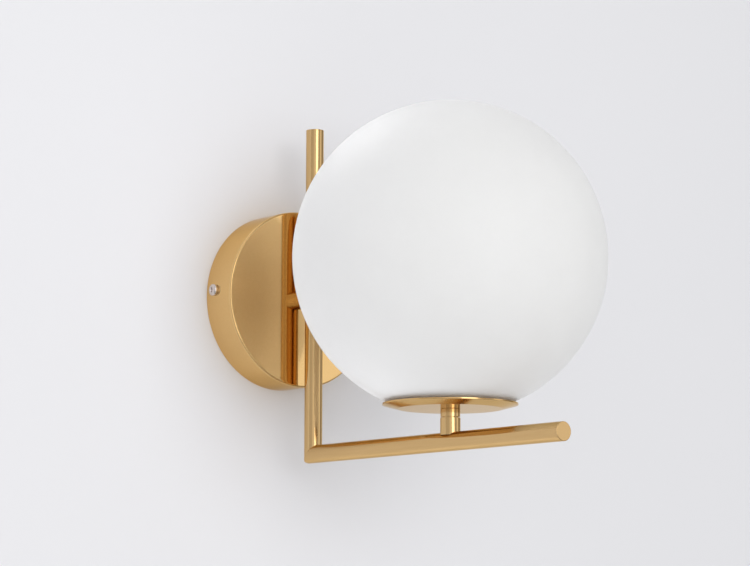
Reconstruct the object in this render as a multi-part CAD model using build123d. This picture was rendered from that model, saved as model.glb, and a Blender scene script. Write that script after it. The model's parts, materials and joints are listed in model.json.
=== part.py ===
from build123d import *
import os
from math import pi, sqrt

# Globe wall sconce: a round wall cover, a bent-looking arm of two mitred tubes, and an opal
# glass globe that stands on a shallow dish above the lower tube.
# Origin: the middle of the wall cover, on the wall. +X is to the right of someone who faces
# the wall, +Y goes into the wall, +Z is up. Millimetres throughout.

# ---- Clearances ------------------------------------------------------------------------
thread_clearance = 0.05      # radial, between a plain screw shank and its tapped hole
hole_clearance = 0.2         # radial, where a screw or nipple passes a plain hole
slip_clearance = 0.1         # between parts that slide together and stay there
seat_gap = 0.2               # under the glass, above its gasket
neck_clearance = 0.6         # radial, between the glass neck and the ring inside it
bulb_clearance = 0.4         # radial, between the bulb cap and the holder's screw shell

# ---- Glass globe -----------------------------------------------------------------------
globe_diameter = 200.0
glass_thickness = 3.0
ground_diameter = 67.0       # flat that is ground on the bottom of the globe
mouth_diameter = 56.0
neck_height = 11.0           # the neck turns up inside the globe
neck_wall = 3.0
glass_edge_radius = 1.0

# ---- Round wall cover ------------------------------------------------------------------
cover_diameter = 120.0
cover_depth = 27.0
cover_sheet = 1.0
cover_edge_radius = 1.4
cover_least_edge = 0.2       # smallest radius inside the edge
side_screw_setback = 9.0     # from the wall to the axis of the side screws
side_screw_rise = 3.0        # the side screws sit a little above the middle of the cover

# ---- Tube arm --------------------------------------------------------------------------
tube_diameter = 12.0
tube_wall = 1.0
arm_gap = 7.5                # from the face of the cover to the upright tube
arm_rise = 115.0             # top of the upright tube above the middle of the cover
arm_drop = 106.0             # axis of the lower tube below the middle of the cover
globe_reach = 140.0          # axis of the globe in front of the upright tube's axis
front_reach = 243.0          # end of the lower tube in front of the upright tube's axis
corner_flat = 1.2            # how far the sharp outer corner of the mitre is dressed back
plug_flange = 1.2
plug_spigot = 5.0
plug_edge_break = 0.4
hub_diameter = 13.0
saddle_depth = 2.0           # how far hub and riser wrap round the tube they stand on
wire_hole_diameter = 6.4

# ---- Threaded tube, nuts and washers ---------------------------------------------------
nipple_diameter = 10.0
nipple_bore = 8.0
nipple_engagement = 5.0      # thread length inside the hub
nut_flats = 14.0
nut_height = 3.0
washer_diameter = 17.0
washer_sheet = 0.8
washer_teeth = 14
nipple_spare = 2.0           # thread that shows past a nut
nipple_chamfer = 0.4
nut_chamfer_share = 0.8      # of the distance from a nut's flats to its corners
washer_notch_share = 0.7     # depth of a notch, as a share of the washer's band

# ---- Riser, dish and ring under the globe ------------------------------------------------
riser_diameter = 12.8
riser_height = 8.9
collar_diameter = 12.4
collar_height = 5.6
dish_diameter = 85.6
dish_floor_diameter = 66.2
dish_rise = 2.5
dish_sheet = 1.0
dish_lip_radius = 0.4
ring_height = 12.0
ring_sheet = 1.2
ring_edge_radius = 0.6
ring_vent_diameter = 5.0
ring_vent_circle = 34.0
ring_vents = 4
gasket_diameter = 64.0
gasket_thickness = 0.8

# ---- Lampholder ------------------------------------------------------------------------
holder_diameter = 27.8
holder_height = 55.0
holder_wall = 1.6
holder_base_height = 20.0
holder_entry_height = 9.0
holder_entry_wall = 2.2
holder_shoulder_radius = 5.4
holder_lip = 1.6
holder_grip_ribs = 18
grip_groove_radius = 0.64
grip_start = 4.2             # from the sleeve's lower edge to its grooves
grip_length = 21.0
shell_bore = 14.0
shell_sheet = 0.5
shell_height = 20.0
insert_height = 6.0
contact_hole_radius = 4.0    # in the floor of the screw shell
contact_foot = 3.2           # half lengths along the sprung strip: its foot,
contact_slope_foot = 1.6     # where the slope starts
contact_slope_top = 0.8      # and where it ends
contact_width = 2.0
contact_sheet = 0.5
contact_rise = 3.0

# ---- Bulb ------------------------------------------------------------------------------
bulb_diameter = 45.0
bulb_length = 78.0
bulb_cap_height = 17.0
bulb_cap_sheet = 0.4
bulb_dome_wall = 1.2
bulb_tip_diameter = 4.8
bulb_tip_height = 1.6
bulb_tip_edge = 0.96
bulb_insulator_height = 2.6
bulb_bell_flare = 0.35       # outward per unit of height, where the housing leaves the cap

# ---- Wall bracket ----------------------------------------------------------------------
bracket_sheet = 1.5
bracket_width = 22.0
bracket_tab_width = 12.0
bracket_bend_radius = 1.0
bracket_gap = 0.4            # from the bracket's tabs to the inside of the cover
tab_end_margin = 5.0         # metal past the side screw's axis
tab_boss_diameter = 7.0
tab_boss_height = 1.2
wall_slot_spacing = 70.0
wall_slot_length = 14.0
wall_slot_width = 5.0
cable_hole_diameter = 12.0
ear_width = 20.0
ear_corner_radius = 3.0
earth_screw_offset = 20.0
earth_boss_height = 2.0

# ---- Machine screws --------------------------------------------------------------------
side_screw_diameter = 4.0
side_screw_length = 8.0
side_screw_head = 8.0
side_screw_head_height = 2.6
earth_screw_length = 4.0
block_screw_diameter = 3.0
block_screw_length = 7.0
block_screw_head = 4.4
clamp_screw_diameter = 2.6
recess_share = 0.58          # length of the cross recess, as a share of the head
recess_depth_share = 0.55    # of the head's height, on both sides of its top
recess_width_share = 0.25    # of the screw's diameter
head_round_share = 0.6       # of the head's height
tip_chamfer_share = 0.1      # of the screw's diameter
slot_width_share = 0.22      # of a headless screw's diameter
slot_depth_share = 0.5

# ---- Terminal block and leads ----------------------------------------------------------
block_pitch = 10.0
block_poles = 3
block_depth = 12.0
block_height = 16.0
block_lift = 13.0            # from the bracket's middle line to the block's lower end
block_valley = 1.0           # gap between the barrels of two poles
block_tower_share = 1.4      # width over a screw well, as a share of the barrel's radius
clamp_screw_shares = (0.25, 0.75)    # heights of the clamp screws in the block
insert_diameter = 4.8
insert_bore = 3.0
lead_diameter = 2.0
lead_spread = 1.4            # each lead's distance from the middle of the tubes
lead_grip = 5.0              # length of lead inside a terminal
loose_bend = 8.0             # bend radius of a lead in the open
tube_bend = 6.0              # bend radius of a lead where it turns inside the metal
tag_sheet = 0.8
tag_diameter = 8.4
tag_barrel_diameter = 3.4
tag_barrel_length = 6.0
tag_bridge_width = 2.4
earth_bend_share = 0.45      # bend radius of the earth lead, as a share of its loop's width

# ---- Worked-out places -----------------------------------------------------------------
tube_radius = tube_diameter / 2
bore_radius = tube_radius - tube_wall
cover_radius = cover_diameter / 2
cover_inside = cover_radius - cover_sheet
face_inside_y = cover_sheet - cover_depth
arm_y = -(cover_depth + arm_gap + tube_radius)
lower_z = -arm_drop
globe_y = arm_y - globe_reach
front_y = arm_y - front_reach
riser_top_z = lower_z + tube_radius + riser_height
dish_z = riser_top_z + collar_height
dish_floor_z = dish_z + dish_sheet
ring_floor_z = dish_floor_z + ring_sheet
gasket_top_z = dish_floor_z + gasket_thickness
glass_z = gasket_top_z + seat_gap
globe_radius = globe_diameter / 2
globe_z = glass_z + sqrt(globe_radius ** 2 - (ground_diameter / 2) ** 2)
mouth_radius = mouth_diameter / 2
ring_radius = mouth_radius - neck_clearance
nipple_radius = nipple_diameter / 2
nipple_hole = nipple_radius + hole_clearance
nipple_thread_hole = nipple_radius + thread_clearance
lamp_nut_z = ring_floor_z + washer_sheet
holder_z = lamp_nut_z + nut_height
holder_top_z = holder_z + holder_height
shell_top_z = holder_top_z - holder_lip - slip_clearance
shell_z = shell_top_z - shell_height
shell_radius = shell_bore / 2 + shell_sheet
insert_z = shell_z - insert_height
bulb_cap_radius = shell_bore / 2 - bulb_clearance
bulb_z = shell_z + shell_sheet + contact_rise
side_hole_radius = side_screw_diameter / 2 + hole_clearance
tab_top = side_screw_rise + bracket_tab_width / 2
tab_x = sqrt(cover_inside ** 2 - tab_top ** 2) - bracket_gap
tab_length = side_screw_setback + tab_end_margin
bracket_face_y = -bracket_sheet
block_wire_y = bracket_face_y - block_depth / 2
screw_seat_x = cover_radius + thread_clearance
tag_y = bracket_face_y - earth_boss_height
tag_barrel_y = tag_y - tag_barrel_diameter / 2 - thread_clearance

upright = (Align.CENTER, Align.CENTER, Align.MIN)
out_of_wall = Rot(90, 0, 0)          # turns +Z towards the room
to_the_right = Rot(0, 90, 0)         # turns +Z towards +X
to_the_left = Rot(0, -90, 0)         # turns +Z towards -X


# ---- Shared shapes ---------------------------------------------------------------------
def rod(radius, length):
    return Cylinder(radius, length, align=upright)


def ring(outer, inner, length):
    return rod(outer, length) - rod(inner, length)


def turned(*edges):
    """A solid of revolution about Z, from edges that close a profile in the XZ plane."""
    return revolve(Plane.XZ * make_face(list(edges)), axis=Axis.Z)


def turned_points(*points):
    return turned(*Polyline(*points, close=True).edges())


def on_globe_axis(shape, height):
    return Pos(0, globe_y, height) * shape


def on_arm_axis(shape, depth):
    """Puts a shape that grows along +Z on the hub's axis, growing towards the room."""
    return Pos(0, depth, 0) * out_of_wall * shape


def pan_screw(diameter, length, head_diameter, head_height):
    """A pan-head screw with a cross recess: seat at z = 0, head above, shank below."""
    head = rod(head_diameter / 2, head_height)
    head = fillet(head.edges().group_by(Axis.Z)[-1], head_height * head_round_share)
    blade = Box(head_diameter * recess_share, diameter * recess_width_share,
                head_height * recess_depth_share)
    recess = Pos(0, 0, head_height) * (blade + Rot(0, 0, 90) * blade)
    shank = Pos(0, 0, -length) * rod(diameter / 2, length)
    shank = chamfer(shank.edges().group_by(Axis.Z)[0], diameter * tip_chamfer_share)
    return head - recess + shank


def slotted_screw(diameter, length):
    screw = rod(diameter / 2, length)
    slot = Box(2 * diameter, diameter * slot_width_share, diameter * slot_depth_share)
    slot = Pos(0, 0, length) * slot
    return screw - slot


def hex_nut(hole_radius, flats, height):
    """A hexagon nut with both faces chamfered to a circle."""
    blank = extrude(RegularPolygon(flats / 2, 6, major_radius=False), height)
    corner = flats / sqrt(3)
    disc = rod(corner, height)
    disc = chamfer(disc.edges().filter_by(GeomType.CIRCLE), (corner - flats / 2) * nut_chamfer_share)
    return (blank & disc) - rod(hole_radius, height)


def toothed_washer(inner, outer, sheet, teeth):
    """A lock washer with square notches between its outer teeth."""
    depth = (outer - inner) * washer_notch_share
    notch = Pos(outer, 0, sheet / 2) * Box(depth, pi * outer / teeth, sheet)
    notches = [Rot(0, 0, 360 * i / teeth) * notch for i in range(teeth)]
    return ring(outer, inner, sheet) - notches


def threaded_tube(length):
    tube = ring(nipple_radius, nipple_bore / 2, length)
    ends = [e for e in tube.edges().filter_by(GeomType.CIRCLE) if e.radius > nipple_bore / 2]
    return chamfer(ends, nipple_chamfer)


# ---- Wall bracket and cover ------------------------------------------------------------
def tab_strip():
    """The strip whose two ends bend forward into tabs for the side screws."""
    inner = tab_x - bracket_sheet
    outline = Polyline((-tab_x, -tab_length), (-tab_x, 0), (tab_x, 0), (tab_x, -tab_length),
                       (inner, -tab_length), (inner, bracket_face_y), (-inner, bracket_face_y),
                       (-inner, -tab_length), close=True)
    face = make_face(outline.edges())
    outer_corners = face.vertices().group_by(Axis.Y)[-1]
    face = fillet(outer_corners, bracket_bend_radius + bracket_sheet)
    inner_corners = [v for v in face.vertices() if abs(v.Y - bracket_face_y) < 1e-6]
    face = fillet(inner_corners, bracket_bend_radius)
    strip = extrude(face, bracket_tab_width)
    tips = strip.edges().filter_by(Axis.X).group_by(Axis.Y)[0]
    return Pos(0, 0, side_screw_rise - bracket_tab_width / 2) * fillet(tips, tab_end_margin / 2)


def bracket_holes():
    """Wall slots, cable hole and tapped holes, seen from the room."""
    slot = SlotOverall(wall_slot_length, wall_slot_width)
    holes = Circle(cable_hole_diameter / 2)
    holes += [Pos(side * wall_slot_spacing / 2, 0) * slot for side in (-1, 1)]
    holes += Pos(earth_screw_offset, 0) * Circle(side_screw_diameter / 2 + thread_clearance)
    block_hole = Circle(block_screw_diameter / 2 + thread_clearance)
    return holes + Pos(block_pitch / 2, block_lift + block_height / 2) * block_hole


def wall_bracket():
    """A stamped strap with an ear for the terminal block and two tapped tabs."""
    bend = bracket_bend_radius + bracket_sheet
    strap = Rectangle(2 * (tab_x - bend), bracket_width)
    ear_top = block_lift + block_height
    ear = Pos(0, ear_top / 2) * Rectangle(ear_width, ear_top)
    plate = strap + ear
    plate = fillet(plate.vertices(), ear_corner_radius)
    bracket = extrude(Plane.XZ * plate, bracket_sheet) + tab_strip() + earth_boss()
    bracket -= extrude(Plane.XZ * bracket_holes(), tab_length)
    axis = Pos(0, -side_screw_setback, side_screw_rise)
    inner = tab_x - bracket_sheet
    for turn in (to_the_left, to_the_right):
        bracket += axis * turn * Pos(0, 0, inner - tab_boss_height) * rod(
            tab_boss_diameter / 2, tab_boss_height)
    tapped = side_screw_diameter / 2 + thread_clearance
    for turn in (to_the_left, to_the_right):
        bracket -= axis * turn * Pos(0, 0, inner / 2) * rod(tapped, tab_x)
    return bracket


def wall_cover():
    """A spun cup with a small edge radius, open to the wall."""
    outside = rod(cover_radius, cover_depth)
    outside = fillet(outside.edges().group_by(Axis.Z)[-1], cover_edge_radius)
    inside = rod(cover_inside, cover_depth - cover_sheet)
    inside_edge = max(cover_edge_radius - cover_sheet, cover_least_edge)
    inside = fillet(inside.edges().group_by(Axis.Z)[-1], inside_edge)
    cup = outside - inside - rod(nipple_hole, cover_depth)
    cup = out_of_wall * cup
    axis = Pos(-cover_diameter, -side_screw_setback, side_screw_rise)
    return cup - axis * to_the_right * rod(side_hole_radius, 2 * cover_diameter)


def earth_boss():
    """The plunged boss that keeps the earth screw's tip off the wall."""
    tapped = side_screw_diameter / 2 + thread_clearance
    boss = ring(tapped + bracket_sheet, tapped, earth_boss_height)
    return Pos(earth_screw_offset, bracket_face_y, 0) * out_of_wall * boss


def side_screw(turn):
    screw = pan_screw(side_screw_diameter, side_screw_length, side_screw_head,
                      side_screw_head_height)
    return Pos(0, -side_screw_setback, side_screw_rise) * turn * Pos(0, 0, screw_seat_x) * screw


def earth_screw():
    screw = pan_screw(side_screw_diameter, earth_screw_length, side_screw_head,
                      side_screw_head_height)
    return Pos(earth_screw_offset, tag_y - tag_sheet, 0) * out_of_wall * screw


# ---- Terminal block --------------------------------------------------------------------
def pole_places():
    middle = (block_poles - 1) / 2
    return [(i - middle) * block_pitch for i in range(block_poles)]


def at_block(shape, x=0.0, height=0.0):
    return Pos(x, block_wire_y, block_lift + height) * shape


def terminal_block():
    """A row of barrels on a base, each with a wire way and two screw wells."""
    base_depth = block_depth / 2
    length = block_poles * block_pitch
    base = Pos(0, base_depth / 2, block_height / 2) * Box(length, base_depth, block_height)
    barrel_radius = (block_pitch - block_valley) / 2
    body = base
    for x in pole_places():
        body += Pos(x, 0, 0) * rod(barrel_radius, block_height)
        tower = Box(barrel_radius * block_tower_share, block_depth, block_height)
        body += Pos(x, 0, block_height / 2) * tower
    for x in pole_places():
        body -= Pos(x, 0, 0) * rod(insert_diameter / 2 + slip_clearance, block_height)
        for share in clamp_screw_shares:
            well = out_of_wall * rod(clamp_screw_diameter / 2 + hole_clearance, block_depth)
            body -= Pos(x, 0, block_height * share) * well
    fixing = Pos(block_pitch / 2, 0, block_height / 2) * out_of_wall
    shank_hole = rod(block_screw_diameter / 2 + hole_clearance, block_depth)
    body -= fixing * Pos(0, 0, -block_depth) * shank_hole
    body -= fixing * rod(block_screw_head / 2 + hole_clearance, block_depth)
    return at_block(body)


def terminal_inserts():
    """Brass barrels that clamp the wires, one in each pole."""
    length = block_height - 2 * slip_clearance
    parts = []
    for x in pole_places():
        barrel = Pos(0, 0, slip_clearance) * ring(insert_diameter / 2, insert_bore / 2, length)
        for share in clamp_screw_shares:
            tapped = out_of_wall * rod(clamp_screw_diameter / 2 + thread_clearance, insert_diameter)
            barrel -= Pos(0, 0, block_height * share) * tapped
        parts.append(at_block(barrel, x))
    return Compound(parts)


def terminal_screws():
    start = -(lead_diameter / 2 + slip_clearance)
    length = block_depth / 2 + start - slip_clearance
    parts = []
    for x in pole_places():
        for share in clamp_screw_shares:
            screw = Pos(0, start, 0) * out_of_wall * slotted_screw(clamp_screw_diameter, length)
            parts.append(at_block(screw, x, block_height * share))
    return Compound(parts)


def block_screw():
    screw = pan_screw(block_screw_diameter, block_screw_length, block_screw_head,
                      block_screw_diameter / 2)
    return at_block(out_of_wall * screw, block_pitch / 2, block_height / 2)


# ---- Arm -------------------------------------------------------------------------------
def arm_hub():
    """A short sleeve, coped to sit round the upright tube."""
    length = arm_gap + saddle_depth
    sleeve = on_arm_axis(rod(hub_diameter / 2, length), -cover_depth)
    sleeve -= on_arm_axis(rod(nipple_thread_hole, nipple_engagement), -cover_depth)
    sleeve -= on_arm_axis(rod(wire_hole_diameter / 2, length), -cover_depth)
    tube = Pos(0, arm_y, -hub_diameter) * rod(tube_radius, 2 * hub_diameter)
    return sleeve - tube


def arm_nipple():
    inner_end = face_inside_y + washer_sheet + nut_height + nipple_spare
    outer_end = -(cover_depth + nipple_engagement) + slip_clearance
    return on_arm_axis(threaded_tube(inner_end - outer_end), inner_end)


def arm_lock_washer():
    washer = toothed_washer(nipple_hole, washer_diameter / 2, washer_sheet, washer_teeth)
    return on_arm_axis(washer, face_inside_y + washer_sheet)


def arm_nut():
    nut = hex_nut(nipple_thread_hole, nut_flats, nut_height)
    return on_arm_axis(nut, face_inside_y + washer_sheet + nut_height)


def mitre_blank(keep_lower):
    """Everything on one side of the 45 degree mitre plane, with the outer corner dressed."""
    size = 4 * (arm_rise + front_reach)
    half = Pos(0, 0, size / 2) * Box(size, size, size)
    turn = Rot(-45, 0, 0) if not keep_lower else Rot(135, 0, 0)
    corner_reach = tube_radius * sqrt(2) - corner_flat
    dressing = Rot(45, 0, 0) * Pos(0, 0, -corner_reach - size / 2) * Box(size, size, size)
    return Pos(0, arm_y, lower_z) * (turn * half - dressing)


def vertical_tube():
    length = arm_rise + arm_drop + 2 * tube_radius - plug_flange
    tube = Pos(0, arm_y, lower_z - 2 * tube_radius) * ring(tube_radius, bore_radius, length)
    tube = tube & mitre_blank(keep_lower=False)
    return tube - on_arm_axis(rod(wire_hole_diameter / 2, arm_gap + tube_radius), -cover_depth)


def horizontal_tube():
    length = front_reach + 2 * tube_radius - plug_flange
    bar = out_of_wall * ring(tube_radius, bore_radius, length)
    bar = Pos(0, arm_y + 2 * tube_radius, lower_z) * bar
    bar = bar & mitre_blank(keep_lower=True)
    return bar - on_globe_axis(rod(wire_hole_diameter / 2, 2 * tube_radius), lower_z)


def plug():
    """A flat end plug with a spigot: flange from z = 0 up, spigot below."""
    flange = rod(tube_radius, plug_flange)
    flange = chamfer(flange.edges().group_by(Axis.Z)[-1], plug_edge_break)
    spigot = Pos(0, 0, -plug_spigot) * rod(bore_radius - slip_clearance, plug_spigot)
    spigot = chamfer(spigot.edges().group_by(Axis.Z)[0], plug_edge_break)
    return flange + spigot


def top_plug():
    return Pos(0, arm_y, arm_rise - plug_flange) * plug()


def front_plug():
    return Pos(0, front_y + plug_flange, lower_z) * out_of_wall * plug()


# ---- Riser, dish and globe ring --------------------------------------------------------
def riser_stem():
    """A tapped sleeve, coped to stand on the lower tube."""
    height = riser_height + saddle_depth
    base = riser_top_z - height
    sleeve = on_globe_axis(rod(riser_diameter / 2, height), base)
    floor = lower_z + tube_radius + nut_height / 2
    sleeve -= on_globe_axis(rod(nipple_thread_hole, height), floor)
    sleeve -= on_globe_axis(rod(wire_hole_diameter / 2, height), base)
    bar = out_of_wall * rod(tube_radius, 2 * riser_diameter)
    return sleeve - Pos(0, globe_y + riser_diameter, lower_z) * bar


def riser_collar():
    sleeve = ring(collar_diameter / 2, nipple_thread_hole, collar_height)
    circles = sleeve.edges().filter_by(GeomType.CIRCLE)
    rims = [e for e in circles if e.radius > nipple_thread_hole + slip_clearance]
    return on_globe_axis(chamfer(rims, plug_edge_break / 2), riser_top_z)


def lamp_nipple():
    start = lower_z + tube_radius + nut_height / 2 + slip_clearance
    end = holder_z + holder_entry_height - slip_clearance
    return on_globe_axis(threaded_tube(end - start), start)


def fitter_dish():
    """A spun saucer: flat floor, shallow cone, rolled-off rim."""
    floor = dish_floor_diameter / 2
    rim = dish_diameter / 2
    profile = make_face(Polyline((nipple_hole, 0), (floor, 0), (rim, dish_rise),
                                 (rim, dish_rise + dish_sheet), (floor, dish_sheet),
                                 (nipple_hole, dish_sheet), close=True).edges())
    rim_corners = profile.vertices().group_by(Axis.X)[-1]
    profile = fillet(rim_corners, dish_lip_radius)
    return on_globe_axis(revolve(Plane.XZ * profile, axis=Axis.Z), dish_z)


def globe_ring():
    """The cup inside the dish that carries the thread for the glass neck."""
    cup = rod(ring_radius, ring_height)
    cup = fillet(cup.edges().group_by(Axis.Z)[0], ring_edge_radius)
    cup -= Pos(0, 0, ring_sheet) * rod(ring_radius - ring_sheet, ring_height)
    cup -= rod(nipple_hole, ring_height)
    vent = Pos(ring_vent_circle / 2, 0, 0) * rod(ring_vent_diameter / 2, ring_sheet)
    cup -= [Rot(0, 0, 45 + 360 * i / ring_vents) * vent for i in range(ring_vents)]
    return on_globe_axis(cup, dish_floor_z)


def lamp_lock_washer():
    washer = toothed_washer(nipple_hole, washer_diameter / 2, washer_sheet, washer_teeth)
    return on_globe_axis(washer, ring_floor_z)


def lamp_nut():
    return on_globe_axis(hex_nut(nipple_thread_hole, nut_flats, nut_height), lamp_nut_z)


def globe_gasket():
    band = ring(gasket_diameter / 2, mouth_radius, gasket_thickness)
    return on_globe_axis(band, dish_floor_z)


def glass_globe():
    """An opal shell, ground flat below, with a neck that turns up inside it."""
    centre = globe_z - glass_z
    inner = globe_radius - glass_thickness
    neck_outside = mouth_radius + neck_wall
    neck_root = centre - sqrt(inner ** 2 - neck_outside ** 2)
    outer_arc = ThreePointArc((ground_diameter / 2, 0), (globe_radius, centre),
                              (0, centre + globe_radius))
    inner_arc = ThreePointArc((0, centre + inner), (inner, centre), (neck_outside, neck_root))
    profile = make_face([
        outer_arc,
        Line((0, centre + globe_radius), (0, centre + inner)),
        inner_arc,
        Line((neck_outside, neck_root), (neck_outside, neck_height)),
        Line((neck_outside, neck_height), (mouth_radius, neck_height)),
        Line((mouth_radius, neck_height), (mouth_radius, 0)),
        Line((mouth_radius, 0), (ground_diameter / 2, 0))])
    lips = [v for v in profile.vertices() if abs(v.Y - neck_height) < 1e-6]
    profile = fillet(lips, glass_edge_radius)
    return on_globe_axis(revolve(Plane.XZ * profile, axis=Axis.Z), glass_z)


# ---- Lampholder ------------------------------------------------------------------------
def holder_base():
    """The lower cap of the lampholder, with the entry that screws onto the nipple."""
    radius = holder_diameter / 2 - slip_clearance
    body = rod(radius, holder_base_height)
    body = fillet(body.edges().group_by(Axis.Z)[0], holder_shoulder_radius)
    hollow = Pos(0, 0, holder_wall) * rod(radius - holder_wall, holder_base_height)
    hollow = fillet(hollow.edges().group_by(Axis.Z)[0], holder_shoulder_radius - holder_wall)
    entry = rod(nipple_radius + holder_entry_wall, holder_entry_height)
    body = body - hollow + entry - rod(nipple_thread_hole, holder_base_height)
    return on_globe_axis(body, holder_z)


def holder_sleeve():
    """The upper skirt of the lampholder, ribbed for the hand."""
    height = holder_height - holder_base_height - slip_clearance
    radius = holder_diameter / 2
    body = rod(radius, height)
    body = fillet(body.edges().group_by(Axis.Z)[-1], holder_wall)
    body -= rod(radius - holder_wall, height - holder_lip)
    body -= rod(shell_radius + slip_clearance, height)
    groove = Pos(radius, 0, grip_start) * rod(grip_groove_radius, grip_length)
    body -= [Rot(0, 0, 360 * i / holder_grip_ribs) * groove for i in range(holder_grip_ribs)]
    return on_globe_axis(body, holder_top_z - height)


def holder_insert():
    """The insulating block that carries the screw shell and the centre contact."""
    radius = holder_diameter / 2 - holder_wall - slip_clearance
    block = rod(radius, insert_height)
    for side in (-1, 1):
        block -= Pos(side * insert_wire_place(), 0, 0) * rod(insert_diameter / 2, insert_height)
    return on_globe_axis(block, insert_z - slip_clearance)


def insert_wire_place():
    radius = holder_diameter / 2 - holder_wall
    return radius - insert_diameter / 2 - 2 * slip_clearance - holder_wall / 2


def holder_terminals():
    """Two brass barrels that take the leads."""
    barrel = ring(insert_diameter / 2 - slip_clearance, insert_bore / 2, insert_height)
    places = [Pos(side * insert_wire_place(), 0, 0) for side in (-1, 1)]
    barrels = [on_globe_axis(place * barrel, insert_z - slip_clearance) for place in places]
    return Compound(barrels)


def holder_screw_shell():
    cup = rod(shell_radius, shell_height)
    cup -= Pos(0, 0, shell_sheet) * rod(shell_bore / 2, shell_height)
    cup -= rod(contact_hole_radius, shell_sheet)
    return on_globe_axis(cup, shell_z)


def holder_contact():
    """A sprung strip that lifts to meet the tip of the bulb."""
    foot = contact_foot
    near = contact_slope_foot
    top = contact_slope_top
    low = contact_sheet
    peak = shell_sheet + contact_rise - slip_clearance - low
    rise = Polyline((-foot, 0), (-near, 0), (-top, peak), (top, peak), (near, 0), (foot, 0),
                    (foot, low), (near + low, low), (top + low, peak + low),
                    (-top - low, peak + low), (-near - low, low), (-foot, low), close=True)
    strip = extrude(Plane.XZ * make_face(rise.edges()), contact_width / 2, both=True)
    return on_globe_axis(strip, shell_z)


# ---- Bulb ------------------------------------------------------------------------------
def bulb_tip():
    tip = rod(bulb_tip_diameter / 2, bulb_tip_height)
    return on_globe_axis(fillet(tip.edges().group_by(Axis.Z)[0], bulb_tip_edge), bulb_z)


def bulb_insulator():
    low = bulb_tip_diameter / 2
    high = bulb_cap_radius - bulb_cap_sheet
    cone = turned_points((0, 0), (low, 0), (high, bulb_insulator_height),
                         (0, bulb_insulator_height))
    return on_globe_axis(cone, bulb_z + bulb_tip_height)


def cap_base_z():
    return bulb_z + bulb_tip_height + bulb_insulator_height


def bulb_cap():
    sleeve = ring(bulb_cap_radius, bulb_cap_radius - bulb_cap_sheet, bulb_cap_height)
    return on_globe_axis(sleeve, cap_base_z())


def bulb_middle_height():
    """Height of the widest part of the bulb above the cap's lower edge."""
    return bulb_length - bulb_tip_height - bulb_insulator_height - bulb_diameter / 2


def bulb_housing():
    """The white plastic cone between the cap and the dome, with its spigot in the cap."""
    neck = bulb_cap_radius - bulb_cap_sheet - slip_clearance
    shoulder = bulb_cap_radius + bulb_cap_sheet
    start = bulb_cap_height + slip_clearance
    middle = bulb_middle_height()
    widest = bulb_diameter / 2
    bell = Spline((shoulder, start), (widest, middle), tangents=[(bulb_bell_flare, 1), (0, 1)])
    solid = turned(Line((0, slip_clearance), (neck, slip_clearance)),
                   Line((neck, slip_clearance), (neck, start)),
                   Line((neck, start), (shoulder, start)),
                   bell,
                   Line((widest, middle), (0, middle)),
                   Line((0, middle), (0, slip_clearance)))
    return on_globe_axis(solid, cap_base_z())


def bulb_dome():
    outer = bulb_diameter / 2
    inner = outer - bulb_dome_wall
    dome = turned(ThreePointArc((outer, 0), (outer * sqrt(0.5), outer * sqrt(0.5)), (0, outer)),
                  Line((0, outer), (0, inner)),
                  ThreePointArc((0, inner), (inner * sqrt(0.5), inner * sqrt(0.5)), (inner, 0)),
                  Line((inner, 0), (outer, 0)))
    return on_globe_axis(dome, cap_base_z() + bulb_middle_height())


# ---- Leads held inside the arm -----------------------------------------------------------
def swept_lead(points, radii):
    path = FilletPolyline(*points, radius=radii)
    section = Plane(origin=path @ 0, z_dir=path % 0) * Circle(lead_diameter / 2)
    return sweep(section, path=path)


def arm_lead(side, pole):
    """One insulated lead: block, nipple, upright tube, mitre, lower tube, riser, holder."""
    x = side * lead_spread
    start_x = pole_places()[pole]
    slack = bore_radius - lead_diameter
    low_z = lower_z - slack / 2
    end_x = side * insert_wire_place()
    entry_z = holder_z + holder_entry_height
    points = [
        (start_x, block_wire_y, block_lift + lead_grip),
        (start_x, block_wire_y, block_lift - 2 * lead_diameter),
        (x, block_wire_y - lead_diameter, 0),
        (x, arm_y - slack / 2, 0),
        (x, arm_y + slack / 2, low_z),
        (x, globe_y, low_z),
        (x, globe_y, entry_z),
        (end_x, globe_y, (entry_z + insert_z) / 2),
        (end_x, globe_y, insert_z + lead_grip)]
    radii = [loose_bend, tube_bend, tube_bend, loose_bend, tube_bend, loose_bend, loose_bend]
    return swept_lead(points, radii)


def earth_lead():
    """From the last pole of the block, down and round, up into the earth tag."""
    start_x = pole_places()[-1]
    low_z = -tag_diameter / 2 - tag_barrel_length - loose_bend
    points = [
        (start_x, block_wire_y, block_lift + lead_grip),
        (start_x, block_wire_y, low_z),
        (earth_screw_offset, tag_barrel_y, low_z),
        (earth_screw_offset, tag_barrel_y, -tag_diameter / 2 - lead_diameter)]
    bend = (earth_screw_offset - start_x) * earth_bend_share
    return swept_lead(points, [bend, bend])


def earth_tag():
    """A ring tag under the earth screw, with a crimped barrel that points down."""
    eye = ring(tag_diameter / 2, side_screw_diameter / 2 + hole_clearance, tag_sheet)
    eye = Pos(earth_screw_offset, tag_y, 0) * out_of_wall * eye
    barrel = ring(tag_barrel_diameter / 2, lead_diameter / 2 + thread_clearance, tag_barrel_length)
    top = -tag_diameter / 2
    place = Pos(earth_screw_offset, tag_barrel_y, top - tag_barrel_length)
    bridge = Box(tag_bridge_width, tag_sheet, tag_barrel_diameter)
    bridge = Pos(earth_screw_offset, tag_y - tag_sheet / 2, top) * bridge
    bore = place * rod(lead_diameter / 2 + thread_clearance, tag_barrel_length)
    return (eye + bridge - bore) + place * barrel


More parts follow.
